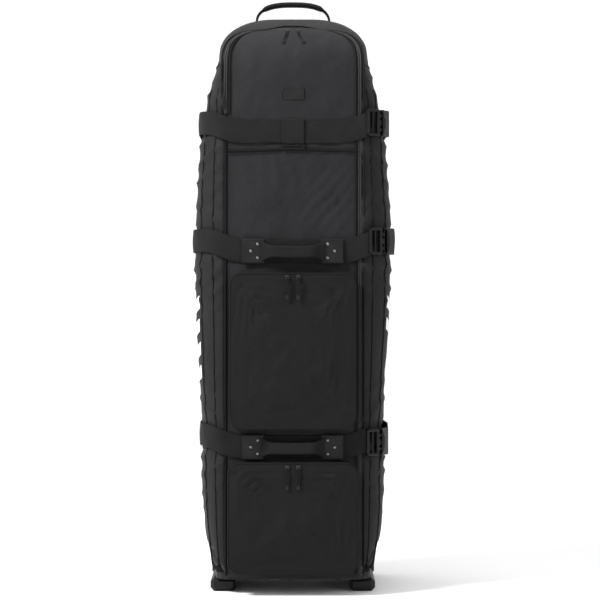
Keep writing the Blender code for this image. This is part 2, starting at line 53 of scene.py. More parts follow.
PANEL_LOW, PANEL_HIGH = corners("front_panel")
BACK_HIGH = corners("back_panel")[1]
HOOD_LOW, HOOD_HIGH = corners("hood_top")

FRONT_Y = PANEL_LOW.y           # outer face of the front panel
BACK_Y = BACK_HIGH.y            # outer face of the back panel
PANEL_HALF = PANEL_HIGH.x       # half width of the front panel
ARCH_TOP = PANEL_HIGH.z         # top of the front panel
CASE_TOP = HOOD_HIGH.z          # top of the hood
HOOD_CENTRE_Y = 0.020           # the hood closes towards this line
HOOD_START = 1.170              # above this the sides close in an arch
HOOD_POWER = 2.5
ARCH_START = 1.130              # the panel's edges run straight up to here
ARCH_POWER = 4.0
LEAN_START = 1.100              # above this the front leans back
CORNER_DEPTH = 0.090            # how far the front corners sweep back
BACK_CORNER = 0.045
FOOT = 0.030                    # lower edge of the fabric
SEAM = 0.0025                   # from the panel's edge to the seam

# Height above the floor and half width of the case
SIDE_PROFILE = (
    (0.030, 0.178), (0.110, 0.192), (0.240, 0.202), (0.345, 0.198), (0.450, 0.205),
    (0.680, 0.215), (0.900, 0.210), (1.070, 0.189), (1.170, 0.164),
)
STRAPS = {                      # height at the front, rise towards the sides
    "top": (1.006, 0.022), "mid": (0.746, 0.024), "low": (0.3205, 0.024),
}
WEBBING = 0.050
PLATE_OUTER, PLATE_INNER = 0.110, 0.062
BADGE_HEIGHT = 1.088            # middle of the badge on the hood
FOOT_CURVE = 0.045              # radius of the cloth's lower front corners
LOOP_STEPS = 60                 # stretches along the top handle


def smooth_step(value):
    value = min(1.0, max(0.0, value))
    return value * value * (3 - 2 * value)


def bell(value, width):
    """1 at zero, fading away over the width."""
    return math.exp(-(value / width) ** 2)


def arch(value, power):
    value = min(1.0, max(0.0, value))
    return (1.0 - value ** power) ** (1.0 / power)


def half_width(z):
    """Half width of the case at a height."""
    points = SIDE_PROFILE
    last = len(points) - 1
    if z >= HOOD_START:
        return points[last][1] * arch((z - HOOD_START) / (CASE_TOP - HOOD_START), HOOD_POWER)
    if z <= points[0][0]:
        return points[0][1]
    i = next(k for k in range(last) if z <= points[k + 1][0])
    before, low = points[max(i - 1, 0)], points[i]
    high, after = points[i + 1], points[min(i + 2, last)]
    span = high[0] - low[0]
    slope_low = (high[1] - before[1]) / (high[0] - before[0]) * span
    slope_high = (after[1] - low[1]) / (after[0] - low[0]) * span
    t = (z - low[0]) / span
    return (low[1] * (1 + 2 * t) * (1 - t) ** 2 + slope_low * t * (1 - t) ** 2
            + high[1] * t * t * (3 - 2 * t) + slope_high * t * t * (t - 1))


def front_y(z):
    lean = arch((z - LEAN_START) / (CASE_TOP - LEAN_START), HOOD_POWER)
    return HOOD_CENTRE_Y + (FRONT_Y - HOOD_CENTRE_Y) * lean


def back_y(z):
    start = HOOD_START - 0.01
    lean = arch((z - start) / (CASE_TOP - start), HOOD_POWER)
    return HOOD_CENTRE_Y + (BACK_Y - HOOD_CENTRE_Y) * lean


def panel_edge(z):
    """Half width of the front panel at a height; 0 above its arch."""
    if z > ARCH_TOP:
        return 0.0
    return PANEL_HALF * arch((z - ARCH_START) / (ARCH_TOP - ARCH_START), ARCH_POWER)


def half_section(z, edge):
    """Points round the right half of the case, from an edge at the front to the back."""
    width, front, back = half_width(z), front_y(z), back_y(z)
    squeeze = (back - front) / (BACK_Y - FRONT_Y)
    flat = min(max(min(PANEL_HALF, 0.8 * width), edge), width)
    deep = CORNER_DEPTH * squeeze
    radius = min(BACK_CORNER * squeeze, 0.9 * width)
    points = [(edge + (flat - edge) * k / 6, front) for k in range(7)]
    for step in range(1, 15):
        turn = math.radians(90 - 90 * step / 14)
        points.append((flat + (width - flat) * math.cos(turn), front + deep * (1 - math.sin(turn))))
    side_start, side_end = front + deep, back - radius
    points += [(width, side_start + (side_end - side_start) * k / 12) for k in range(1, 12)]
    for step in range(9):
        turn = math.radians(90 * step / 8)
        points.append((width - radius * (1 - math.cos(turn)), back - radius * (1 - math.sin(turn))))
    reach = width - radius
    points += [(reach * (1 - k / 14), back) for k in range(1, 15)]
    return points


def strap_height(name, x):
    height, rise = STRAPS[name]
    return height + rise * smooth_step((abs(x) - 0.105) / 0.095)


# ---------------------------------------------------------------- materials

def start_material(name, color, roughness, metallic=0.0, sheen=0.0, coat=0.0, specular=0.5):
    made = bpy.data.materials.new(name)
    made.use_nodes = True
    shader = made.node_tree.nodes["Principled BSDF"]
    shader.inputs["Base Color"].default_value = (*color, 1.0)
    shader.inputs["Roughness"].default_value = roughness
    shader.inputs["Metallic"].default_value = metallic
    shader.inputs["Sheen Weight"].default_value = sheen
    shader.inputs["Sheen Roughness"].default_value = 0.45
    shader.inputs["Specular IOR Level"].default_value = specular
    shader.inputs["Coat Weight"].default_value = coat
    shader.inputs["Coat Roughness"].default_value = 0.25
    return made, made.node_tree, shader


def add_noise(tree, coords, scale, detail=3.0):
    made = tree.nodes.new("ShaderNodeTexNoise")
    made.inputs["Scale"].default_value = scale
    made.inputs["Detail"].default_value = detail
    tree.links.new(coords, made.inputs["Vector"])
    return made.outputs["Fac"]


def add_wave(tree, coords, scale, direction, distortion=0.0):
    made = tree.nodes.new("ShaderNodeTexWave")
    made.wave_type = "BANDS"
    made.bands_direction = direction
    made.inputs["Scale"].default_value = scale
    made.inputs["Distortion"].default_value = distortion
    tree.links.new(coords, made.inputs["Vector"])
    return made.outputs["Fac"]


def mix_math(tree, kind, a, b):
    made = tree.nodes.new("ShaderNodeMath")
    made.operation = kind
    for socket, value in zip(made.inputs, (a, b)):
        if isinstance(value, float):
            socket.default_value = value
        else:
            tree.links.new(value, socket)
    return made.outputs[0]


def vary_color(tree, shader, fac, dark, light):
    ramp = tree.nodes.new("ShaderNodeValToRGB")
    ramp.color_ramp.elements[0].position = 0.3
    ramp.color_ramp.elements[0].color = (*dark, 1.0)
    ramp.color_ramp.elements[1].position = 0.75
    ramp.color_ramp.elements[1].color = (*light, 1.0)
    tree.links.new(fac, ramp.inputs["Fac"])
    tree.links.new(ramp.outputs["Color"], shader.inputs["Base Color"])


def vary_roughness(tree, shader, fac, low, high):
    spread = tree.nodes.new("ShaderNodeMapRange")
    spread.inputs["To Min"].default_value = low
    spread.inputs["To Max"].default_value = high
    tree.links.new(fac, spread.inputs["Value"])
    tree.links.new(spread.outputs["Result"], shader.inputs["Roughness"])


def add_bump(tree, shader, height, strength, distance):
    made = tree.nodes.new("ShaderNodeBump")
    made.inputs["Strength"].default_value = strength
    made.inputs["Distance"].default_value = distance
    tree.links.new(height, made.inputs["Height"])
    tree.links.new(made.outputs["Normal"], shader.inputs["Normal"])


def object_coords(tree):
    return tree.nodes.new("ShaderNodeTexCoord").outputs["Object"]


def fabric_material(name, dark, light, sheen=0.03):
    """Coated woven nylon: a fine basket weave, faint slubs and a worn, uneven sheen."""
    made, tree, shader = start_material(name, light, 0.62, sheen=sheen, specular=0.14)
    coords = object_coords(tree)
    warp = add_wave(tree, coords, 260.0, "X", 0.4)
    weft = add_wave(tree, coords, 260.0, "Z", 0.4)
    depth = add_wave(tree, coords, 260.0, "Y", 0.4)
    weave = mix_math(tree, "MULTIPLY", mix_math(tree, "ADD", warp, depth), weft)
    slubs = add_noise(tree, coords, 420.0, 2.0)
    height = mix_math(tree, "ADD", weave, slubs)
    worn = add_noise(tree, coords, 9.0, 5.0)
    fine = add_noise(tree, coords, 160.0, 4.0)
    vary_color(tree, shader, mix_math(tree, "MULTIPLY", mix_math(tree, "ADD", worn, fine), 0.5),
               dark, light)
    vary_roughness(tree, shader, worn, 0.52, 0.72)
    add_bump(tree, shader, height, 0.35, 0.0006)
    return made


def webbing_material(name, dark, light):
    """Ribbed webbing: ribs along the strap crossed by fine picks."""
    made, tree, shader = start_material(name, light, 0.7, sheen=0.01, specular=0.14)
    coords = object_coords(tree)
    ribs = add_wave(tree, coords, 190.0, "Z")
    picks = add_wave(tree, coords, 420.0, "X", 0.6)
    rough = add_noise(tree, coords, 350.0, 2.0)
    height = mix_math(tree, "ADD", mix_math(tree, "MULTIPLY", ribs, picks), rough)
    worn = add_noise(tree, coords, 30.0, 5.0)
    vary_color(tree, shader, worn, dark, light)
    vary_roughness(tree, shader, worn, 0.6, 0.8)
    add_bump(tree, shader, height, 0.55, 0.0008)
    return made


def plastic_material(name, color, light, low, high, coat=0.0):
    """Moulded plastic with a fine spark-eroded texture and light scuffs."""
    made, tree, shader = start_material(name, color, high, coat=coat, specular=0.22)
    coords = object_coords(tree)
    grain = add_noise(tree, coords, 900.0, 2.0)
    scuffs = add_noise(tree, coords, 45.0, 6.0)
    vary_color(tree, shader, scuffs, color, light)
    vary_roughness(tree, shader, scuffs, low, high)
    add_bump(tree, shader, grain, 0.12, 0.0004)
    return made


def metal_material(name, color, roughness):
    made, tree, shader = start_material(name, color, roughness, metallic=1.0)
    coords = object_coords(tree)
    scratches = add_noise(tree, coords, 300.0, 6.0)
    vary_roughness(tree, shader, scratches, roughness - 0.08, roughness + 0.14)
    add_bump(tree, shader, scratches, 0.1, 0.0002)
    return made


def cord_material(name, dark, light):
    """Braided cord: crossed diagonal strands."""
    made, tree, shader = start_material(name, light, 0.65, sheen=0.01, specular=0.15)
    coords = object_coords(tree)
    braid = add_wave(tree, coords, 300.0, "DIAGONAL", 0.3)
    strands = add_noise(tree, coords, 600.0, 2.0)
    vary_color(tree, shader, mix_math(tree, "MULTIPLY", mix_math(tree, "ADD", braid, strands), 0.5),
               dark, light)
    add_bump(tree, shader, braid, 0.6, 0.0006)
    return made


def coil_material(name, dark, light, scale=230.0):
    """Zip coil: fine teeth across its length."""
    made, tree, shader = start_material(name, light, 0.45)
    coords = object_coords(tree)
    across = add_wave(tree, coords, scale, "Z")
    along = add_wave(tree, coords, scale, "X")
    teeth = mix_math(tree, "MAXIMUM", across, along)
    vary_color(tree, shader, teeth, dark, light)
    add_bump(tree, shader, teeth, 0.8, 0.0012)
    return made


FABRIC = fabric_material("case_fabric", (0.0075, 0.0072, 0.0082), (0.0130, 0.0125, 0.0141))
# Same coated nylon as the case, painted far darker: painted shade for the lower front, which gets less light.
POCKET_FABRIC_PAINTED_SHADE = fabric_material("pocket_fabric_painted_shade", (0.0018, 0.0017, 0.0020), (0.0046, 0.0045, 0.0049))
# Same coated nylon painted a little darker for the shell and the pocket gussets: painted shade for the sides,
# turned from the light.
SIDE_FABRIC_PAINTED_SHADE = fabric_material("side_fabric_painted_shade", (0.0066, 0.0064, 0.0071), (0.0125, 0.0122, 0.0133))
STRAP_WEBBING = webbing_material("strap_webbing", (0.0045, 0.0045, 0.0046), (0.0085, 0.0085, 0.0087))
PIPING = webbing_material("seam_binding", (0.0020, 0.0020, 0.0021), (0.0045, 0.0045, 0.0047))
PLASTIC = plastic_material("buckle_plastic", (0.003, 0.003, 0.0032), (0.006, 0.006, 0.0063),
                           0.32, 0.46, coat=0.04)
BASE_PLASTIC = plastic_material("base_plastic", (0.004, 0.004, 0.0042), (0.008, 0.008, 0.008),
                                0.45, 0.62)
RUBBER = plastic_material("tyre_rubber", (0.010, 0.010, 0.010), (0.020, 0.020, 0.020), 0.7, 0.85)
HUB_PLASTIC = plastic_material("wheel_hub", (0.030, 0.030, 0.033), (0.050, 0.050, 0.053), 0.35, 0.5)
RIVET = metal_material("rivet_metal", (0.16, 0.16, 0.17), 0.30)
STEEL = metal_material("axle_steel", (0.55, 0.55, 0.57), 0.28)
SLIDER = metal_material("slider_metal", (0.045, 0.045, 0.048), 0.34)
CORD = cord_material("pull_cord", (0.002, 0.002, 0.002), (0.005, 0.005, 0.005))
COIL = coil_material("zip_coil", (0.003, 0.003, 0.003), (0.014, 0.014, 0.0145))
PRINT = plastic_material("white_print", (0.72, 0.72, 0.72), (0.80, 0.80, 0.80), 0.5, 0.65)
LINING = fabric_material("lining", (0.04, 0.04, 0.042), (0.07, 0.07, 0.072), 0.1)
THREAD = cord_material("thread", (0.012, 0.012, 0.012), (0.030, 0.030, 0.030))


# ---------------------------------------------------------------- mesh helpers

def new_object(name, bm, material):
    mesh = bpy.data.meshes.new(name)
    bm.to_mesh(mesh)
    bm.free()
    mesh.materials.append(material)
    for face in mesh.polygons:
        face.use_smooth = True
    made = bpy.data.objects.new(name, mesh)
    bpy.context.scene.collection.objects.link(made)
    return made


def grid(name, rows, material, closed=False):
    """A sheet through rows of points; closed joins each row's ends."""
    bm = bmesh.new()
    verts = [[bm.verts.new(point) for point in row] for row in rows]
    for lower, upper in zip(verts, verts[1:]):
        count = len(lower)
        for i in range(count if closed else count - 1):
            j = (i + 1) % count
            bm.faces.new((lower[i], lower[j], upper[j], upper[i]))
    bmesh.ops.remove_doubles(bm, verts=bm.verts, dist=0.0002)
    bmesh.ops.dissolve_degenerate(bm, edges=bm.edges, dist=0.0001)
    return new_object(name, bm, material)


def displace(piece, depth):
    """Move every vertex along its normal by depth(position)."""
    mesh = piece.data
    normals = [normal.vector.copy() for normal in mesh.vertex_normals]
    for vert, normal in zip(mesh.vertices, normals):
        vert.co += normal * depth(vert.co)


def thicken(piece, thickness, offset=-1.0, levels=0):
    thick = piece.modifiers.new("thickness", "SOLIDIFY")
    thick.thickness = thickness
    thick.offset = offset
    if levels:
        soft = piece.modifiers.new("soft", "SUBSURF")
        soft.levels = levels
        soft.render_levels = levels


def tube(name, points, radius, material, closed=False, resolution=3):
    curve = bpy.data.curves.new(name, "CURVE")
    curve.dimensions = "3D"
    curve.bevel_depth = radius
    curve.bevel_resolution = resolution
    curve.use_fill_caps = not closed
    spline = curve.splines.new("POLY")
    spline.points.add(len(points) - 1)
    for point, co in zip(spline.points, points):
        point.co = (*co, 1.0)
    spline.use_cyclic_u = closed
    spline.use_smooth = True
    curve.materials.append(material)
    made = bpy.data.objects.new(name, curve)
    bpy.context.scene.collection.objects.link(made)
    return made


def bar(name, size, place, material, bevel=0.002, segments=3):
    """A rounded block of a size, placed by a matrix."""
    bm = bmesh.new()
    bmesh.ops.create_cube(bm, size=1.0)
    bmesh.ops.scale(bm, vec=size, verts=bm.verts)
    made = new_object(name, bm, material)
    made.matrix_world = place
    round_off(made, bevel, segments)
    return made


def round_off(piece, width, segments=3):
    edge = piece.modifiers.new("rounded", "BEVEL")
    edge.width = width
    edge.segments = segments
    edge.limit_method = "ANGLE"
    edge.harden_normals = True


def join(name, pieces):
    """Evaluate pieces and join their meshes into one object."""
    bpy.context.view_layer.update()
    seen = bpy.context.evaluated_depsgraph_get()
    bm = bmesh.new()
    materials = []
    for piece in pieces:
        mesh = bpy.data.meshes.new_from_object(piece.evaluated_get(seen))
        mesh.transform(piece.matrix_world)
        material = piece.data.materials[0]
        if material not in materials:
            materials.append(material)
        for face in mesh.polygons:
            face.material_index = materials.index(material)
        bm.from_mesh(mesh)
        bpy.data.meshes.remove(mesh)
    made = new_object(name, bm, materials[0])
    for extra in materials[1:]:
        made.data.materials.append(extra)
    for piece in pieces:
        bpy.data.objects.remove(piece, do_unlink=True)
    return made


def outline(half_x, half_z, radius, steps=9, straight=8):
    """A rounded rectangle with points along its straight sides too."""
    arcs = []
    for corner, (sx, sz) in enumerate(((1, 1), (-1, 1), (-1, -1), (1, -1))):
        for step in range(steps):
            turn = math.radians(90 * (corner + step / (steps - 1)))
            arcs.append((sx * (half_x - radius) + radius * math.cos(turn),
                         sz * (half_z - radius) + radius * math.sin(turn)))
    points = []
    for i, (x, z) in enumerate(arcs):
        points.append((x, z))
        if i % steps == steps - 1:
            nx, nz = arcs[(i + 1) % len(arcs)]
            points += [(x + (nx - x) * k / straight, z + (nz - z) * k / straight)
                       for k in range(1, straight)]
    return points


def dashes(name, path, body, length=0.0034, gap=0.0022, radius=0.00035, lift=Vector((0, -1, 0))):
    """A row of stitches along a path, one mesh."""
    bm = bmesh.new()
    wait = 0.0
    for a, b in zip(path, path[1:]):
        a, b = Vector(a), Vector(b)
        span = (b - a).length
        if span < 1e-6:
            continue
        heading = (b - a) / span
        while wait < span:
            middle = a + heading * wait
            turn = heading.to_track_quat("X", "Z").to_matrix().to_4x4()
            made = bmesh.ops.create_cube(bm, size=1.0)
            place = Matrix.Translation(middle + lift * radius) @ turn
            scale = Matrix.Diagonal((length, radius * 2, radius * 2, 1.0))
            bmesh.ops.transform(bm, matrix=place @ scale, verts=made["verts"])
            wait += length + gap
        wait -= span
    made = new_object(name, bm, THREAD)
    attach(made, body)
    return made


def finish_piece(piece, body, slot, *nodes):
    """Attach a piece to the body it rides on and hide the CAD nodes it stands for; slot, its finish, is not
    used.
    """
    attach(piece, body)
    if nodes:
        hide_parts(*nodes)
    return piece


# ---------------------------------------------------------------- cloth shape

def ripple(co, scale, seed):
    """Smooth cloth noise between -1 and 1."""
    return noise.noise(Vector((co.x * scale, co.y * scale, co.z * scale)) + Vector((seed, 0, 0)))


def crease(co, angle, spacing, centre, reach, seed):
    """Sharp-edged diagonal folds that fade away from a centre in the XZ plane."""
    dx, dz = co.x - centre[0], co.z - centre[1]
    across = dx * math.cos(angle) + dz * math.sin(angle)
    wander = 0.9 * ripple(co, 14.0, seed)
    wave = math.sin(2 * math.pi * across / spacing + wander)
    fade = bell(math.hypot(dx, dz), reach)
    return fade * (1.0 - abs(wave)) ** 2


def strap_pull(co):
    """How far the straps press the cloth in, and the roll that rises beside them."""
    total = 0.0
    for name in STRAPS:
        dz = co.z - strap_height(name, co.x)
        total += -0.0030 * bell(dz, 0.030) + 0.0022 * bell(abs(dz) - 0.050, 0.018)
    return total


def shell_depth(co):
    loose = smooth_step((co.z - FOOT) / 0.10) * smooth_step((CASE_TOP - co.z) / 0.10)
    depth = 0.0036 * ripple(co, 7.0, 3.1) + 0.0015 * ripple(co, 19.0, 8.4)
    depth += 0.0006 * ripple(co, 48.0, 1.7)
    depth += strap_pull(co)
    for height, _ in STRAPS.values():
        for side in (-1, 1):
            centre = (side * 0.185, height - 0.055)
            depth += 0.0050 * crease(co, side * 0.95, 0.062, centre, 0.080, height * 7)
            centre = (side * 0.185, height + 0.085)
            depth += 0.0042 * crease(co, -side * 0.95, 0.070, centre, 0.080, height * 5)
    return depth * max(0.25, loose)


def levels(low, high, count):
    return [low + (high - low) * k / (count - 1) for k in range(count)]


def arch_levels(count):
    """Heights up the panel's arch, closer together towards its top."""
    rise = ARCH_TOP - 0.0006 - ARCH_START
    return [ARCH_START + rise * math.sin(math.radians(90 * k / count)) for k in range(1, count + 1)]


def foot_lift(x, y, z):
    """How far the cloth's lower edge rises at the front corners."""
    over = min(max(abs(x) - 0.128, 0.0), FOOT_CURVE)
    low = 1.0 - smooth_step((z - FOOT) / 0.10)
    front = 1.0 - smooth_step((y + 0.06) / 0.06)
    return (FOOT_CURVE - math.sqrt(FOOT_CURVE ** 2 - over ** 2)) * low * front


def foot_tuck(z):
    """How far the cloth curls under at its lower edge."""
    return 0.012 * (1.0 - smooth_step((z - FOOT) / 0.045)) ** 2


def full_row(z, edge):
    """A whole section, from the right edge of the front round the back to the left edge."""
    tuck = foot_tuck(z)
    half = []
    for x, y in half_section(z, edge):
        middle = 0.5 * (FRONT_Y + BACK_Y)
        inward = tuck if y < middle else -tuck
        half.append((x - tuck * min(1.0, x / 0.12),
                     y + inward * min(1.0, abs(y - middle) / 0.12), z + foot_lift(x, y, z)))
    return half + [(0.0, half[-1][1], z)] + [(-x, y, z) for x, y, z in reversed(half)]


def make_shell():
    """One sewn shell: both sides, the back and the hood, open along the front panel."""
    rows = [full_row(z, PANEL_HALF + SEAM) for z in levels(FOOT, ARCH_START, 110)]
    for z in arch_levels(22):
        rows.append(full_row(z, panel_edge(z) + SEAM))
    top = ARCH_TOP + 0.004
    for step in range(13):
        z = top + (CASE_TOP - top) * math.sin(math.radians(7.5 * step))
        rows.append(full_row(z, 0.0))
    shell = grid("case_shell", rows, SIDE_FABRIC_PAINTED_SHADE)
    displace(shell, shell_depth)
    thicken(shell, 0.0035)
    finish_piece(shell, "root", "shell_fabric", "side_panel_left", "side_panel_right",
                 "back_panel", "hood_top")


def panel_depth(co):
    depth = 0.0036 * ripple(co, 8.0, 5.0) + 0.0020 * ripple(co, 21.0, 2.2)
    depth += 0.0008 * ripple(co, 55.0, 4.4)
    edge = smooth_step((PANEL_HALF - abs(co.x)) / 0.03)
    crown = 0.004 * (1.0 - (co.x / PANEL_HALF) ** 2)
    for height, _ in STRAPS.values():
        depth -= 0.0015 * bell(co.z - height, 0.028)
    folds = 0.0
    if co.z > 0.78:
        folds += 0.0045 * crease(co, 0.9, 0.050, (-0.07, 0.83), 0.07, 4.0)
        folds += 0.0050 * crease(co, -0.7, 0.045, (0.09, 0.86), 0.07, 9.0)
        folds += 0.0030 * crease(co, 1.3, 0.034, (0.0, 0.94), 0.09, 2.0)
    return (depth + crown + folds) * max(0.1, edge)


def make_front_panel():
    rows = []
    for z in levels(PANEL_LOW.z - 0.010, ARCH_START, 118) + arch_levels(22):
        half = panel_edge(z)
        tuck = foot_tuck(z)
        across = [half * k / 24 for k in range(-24, 25)]
        rows.append([(x, front_y(z) + tuck, z + foot_lift(x, FRONT_Y, z)) for x in across])
    panel = grid("front_panel_cloth", rows, FABRIC)
    displace(panel, panel_depth)
    thicken(panel, 0.003)
    finish_piece(panel, "front_door", "shell_fabric", "front_panel")


def arch_path(grow, start_left, start_right, lift):
    """A path up one edge of the front panel, over its arch and down the other edge."""
    path = []
    path += [(PANEL_HALF + grow, front_y(z) - lift + foot_tuck(z), z)
             for z in levels(start_right, ARCH_START, 60)]
    curve = arch_levels(26)
    over = [(panel_edge(z) + grow, front_y(z) - lift, z) for z in curve]
    top_z = ARCH_TOP + grow
    over += [(x, front_y(top_z) - lift, top_z) for x in levels(0.020, 0.0, 4)]
    path += over
    path += [(-x, y, z) for x, y, z in reversed(over[:-1])]
    path += [(-PANEL_HALF - grow, front_y(z) - lift, z)
             for z in reversed(levels(start_left, ARCH_START, 12))]
    return path


def make_main_zip():
    """The zip round the front panel: a coil and a welt on each side of the opening."""
    for name, body, grow, radius, material in (
            ("zip_coil_panel", "front_door", -0.0010, 0.0017, COIL),
            ("zip_coil_case", "root", 0.0030, 0.0017, COIL),
            ("zip_welt_panel", "front_door", -0.0075, 0.0022, PIPING),
            ("zip_welt_case", "root", 0.0095, 0.0022, PIPING)):
        path = arch_path(grow, 1.045, FOOT + 0.012, 0.0015)
        finish_piece(tube(name, path, radius, material), body, "webbing")
    hinge = [(-PANEL_HALF - 0.001, front_y(z) - 0.001 + foot_tuck(z), z)
             for z in levels(FOOT + 0.010, 1.045, 60)]
    finish_piece(tube("hinge_seam_binding", hinge, 0.0026, PIPING), "root", "webbing")


def surface_point(z, turn, side, lift):
    """A point on a front corner: turn 90 is the front and 0 is the side."""
    turn = math.radians(turn)
    width = half_width(z)
    return (side * (PANEL_HALF + (width - PANEL_HALF + lift) * math.cos(turn)),
            FRONT_Y + CORNER_DEPTH - (CORNER_DEPTH + lift) * math.sin(turn), z)


def make_side_seams():
    """Welts that run up the front corners, and the back seams."""
    for side, name in ((-1, "left"), (1, "right")):
        for k, turn in enumerate((66, 38)):
            path = []
            for z in levels(FOOT + 0.03, 1.10, 80):
                x, y, _ = surface_point(z, turn, side, 0.0)
                co = Vector((x, y, z))
                push = shell_depth(co) + 0.0006
                path.append(surface_point(z, turn, side, push))
            welt = tube("corner_welt_%s_%d" % (name, k), path, 0.0019, PIPING)
            finish_piece(welt, "root", "webbing")
        back = [(side * (half_width(z) - 0.014), BACK_Y - 0.012, z) for z in levels(0.11, 1.16, 60)]
        finish_piece(tube("back_welt_" + name, back, 0.0022, PIPING), "root", "webbing")
    seam_z = HOOD_LOW.z + 0.004
    seam = []
    for x, y in half_section(seam_z, PANEL_HALF + SEAM)[7:]:
        seam.append((x + 0.0005, y, seam_z))
    seam += [(-x, y, z) for x, y, z in reversed(seam)]
    finish_piece(tube("hood_seam", seam, 0.0016, PIPING), "root", "webbing")


def make_panel_seam():
    """The welt and stitching across the front panel, below the top strap."""
    height = 0.9655
    path = [(x, FRONT_Y - 0.0022 - 0.004 * (1 - (x / PANEL_HALF) ** 2),
             height + 0.002 * math.cos(x * 18)) for x in levels(-0.142, 0.142, 40)]
    finish_piece(tube("panel_welt", path, 0.0022, PIPING), "front_door", "webbing")
    for offset in (-0.006, 0.007):
        dashes("panel_stitches_%d" % (offset > 0), [(x, y + 0.0004, z + offset) for x, y, z in path],
               "front_door")


# ---------------------------------------------------------------- pockets

def ring_points(points, scale, y, middle, bulge=0.0):
    return [(x * scale, y - bulge, middle + z * scale) for x, z in points]


def make_pocket(name, body, seed):
    """A gusset with its zip, and a soft crowned flap."""
    low, high = corners("pocket_%s_flap" % name)
    half_x, half_z = (high.x - low.x) / 2, (high.z - low.z) / 2
    middle = (high.z + low.z) / 2
    points = outline(half_x - 0.001, half_z - 0.001, 0.026)
    back_y = corners("pocket_%s_box" % name)[1].y
    rim_y = low.y + 0.0015

    def flap_depth(co):
        local_z = (co.z - middle) / half_z
        local_x = co.x / half_x
        crown = 0.006 * (1 - local_x ** 2) * (1 - local_z ** 2)
        soft = 0.0040 * ripple(co, 11.0, seed) + 0.0022 * ripple(co, 27.0, seed + 2)
        soft += 0.0009 * ripple(co, 60.0, seed + 4)
        folds = 0.0060 * crease(co, 0.9, 0.034, (half_x * 0.45, middle + half_z * 0.75), 0.055, seed)
        folds += 0.0045 * crease(co, -0.8, 0.036, (-half_x * 0.6, middle + half_z * 0.6), 0.06, seed)
        folds += 0.0050 * crease(co, 0.7, 0.040, (0.0, middle - half_z * 0.65), 0.07, seed)
        folds += 0.0040 * crease(co, -1.1, 0.030, (half_x * 0.7, middle - half_z * 0.3), 0.05, seed)
        inside = max(abs(local_x), abs(local_z))
        return crown + (soft + folds) * smooth_step((1.0 - inside) / 0.16)

    rows = [ring_points(points, scale, rim_y, middle) for scale in
            [1.0, 0.985, 0.97] + levels(0.95, 0.05, 26)]
    bm_rows = [list(reversed(row)) for row in rows]
    flap = grid("pocket_%s_front" % name, bm_rows, POCKET_FABRIC_PAINTED_SHADE, closed=True)
    bm = bmesh.new()
    bm.from_mesh(flap.data)
    bmesh.ops.holes_fill(bm, edges=bm.edges, sides=200)
    inner = [face for face in bm.faces if len(face.verts) > 8]
    outer = [face for face in inner if face.calc_area() > 0.01]
    bmesh.ops.delete(bm, geom=outer, context="FACES_ONLY")
    bmesh.ops.recalc_face_normals(bm, faces=bm.faces)
    if sum(face.normal.y for face in bm.faces) > 0:
        bmesh.ops.reverse_faces(bm, faces=bm.faces)
    bm.to_mesh(flap.data)
    bm.free()
    displace(flap, flap_depth)
    thicken(flap, 0.0022)
    finish_piece(flap, body, "shell_fabric", "pocket_%s_flap" % name)

    gusset_rows = []
    depth = back_y - rim_y
    for k in range(9):
        t = k / 8
        bulge = 0.0025 * math.sin(math.pi * t) - 0.001
        grow = 1.0 + bulge / half_x
        y = back_y - (depth - 0.004) * t
        row = [(x * grow, y, middle + z * (1.0 + bulge / half_z)) for x, z in points]
        gusset_rows.append(row)
    gusset = grid("pocket_%s_gusset" % name, gusset_rows, SIDE_FABRIC_PAINTED_SHADE, closed=True)
    displace(gusset, lambda co: 0.0010 * ripple(co, 40.0, seed + 7))
    thicken(gusset, 0.0024)
    finish_piece(gusset, "front_door", "shell_fabric", "pocket_%s_box" % name)

    trims = (("flap_piping", body, 1.0, rim_y + 0.0012, 0.0022, PIPING),
             ("zip_flap", body, 1.004, rim_y + 0.0052, 0.0014, COIL),
             ("zip_gusset", "front_door", 1.004, rim_y + 0.0082, 0.0014, COIL),
             ("gusset_binding", "front_door", 1.006, rim_y + 0.0125, 0.0018, PIPING),
             ("base_piping", "front_door", 1.010, back_y - 0.0015, 0.0024, PIPING))
    for trim, rides, scale, y, radius, material in trims:
        path = [(x * scale, y, middle + z * (1 + (scale - 1) * half_x / half_z))
                for x, z in points]
        piece = tube("pocket_%s_%s" % (name, trim), path, radius, material, closed=True)
        finish_piece(piece, rides, "webbing")


# ---------------------------------------------------------------- straps

def strap_half(name):
    """Half width of the case under a strap, from the CAD ring's place."""
    low, high = corners("ring_" + name)
    return -(low.x + high.x) / 2 - 0.005


def corner_point(name, turn, offset):
    turn = math.radians(turn)
    wide = strap_half(name) - PANEL_HALF + offset
    return (PANEL_HALF + wide * math.cos(turn),
            FRONT_Y + CORNER_DEPTH - (CORNER_DEPTH + offset) * math.sin(turn))


def webbing_strip(name, points, material=STRAP_WEBBING, width=WEBBING, thickness=0.0018, sag=0.0):
    """Webbing through (x, y, z) middle points, with rolled edges and a slight cup."""
    rows = []
    for k, (x, y, z) in enumerate(points):
        before = Vector(points[max(k - 1, 0)])
        after = Vector(points[min(k + 1, len(points) - 1)])
        along = (after - before).normalized()
        up = (Vector((0, 0, 1)) - along * along.z).normalized()
        out = along.cross(up)
        row = []
        for j in range(9):
            t = j / 4 - 1.0
            cup = 0.0008 * (1 - t * t) + 0.0006 * math.sin(k * 0.9 + t * 2.0)
            row.append(Vector((x, y, z)) + up * (t * width / 2) + out * (cup + sag))
        rows.append(row)
    strip = grid(name, rows, material)
    thicken(strip, thickness, offset=0.0)
    round_off(strip, 0.0006, 2)
    return strip


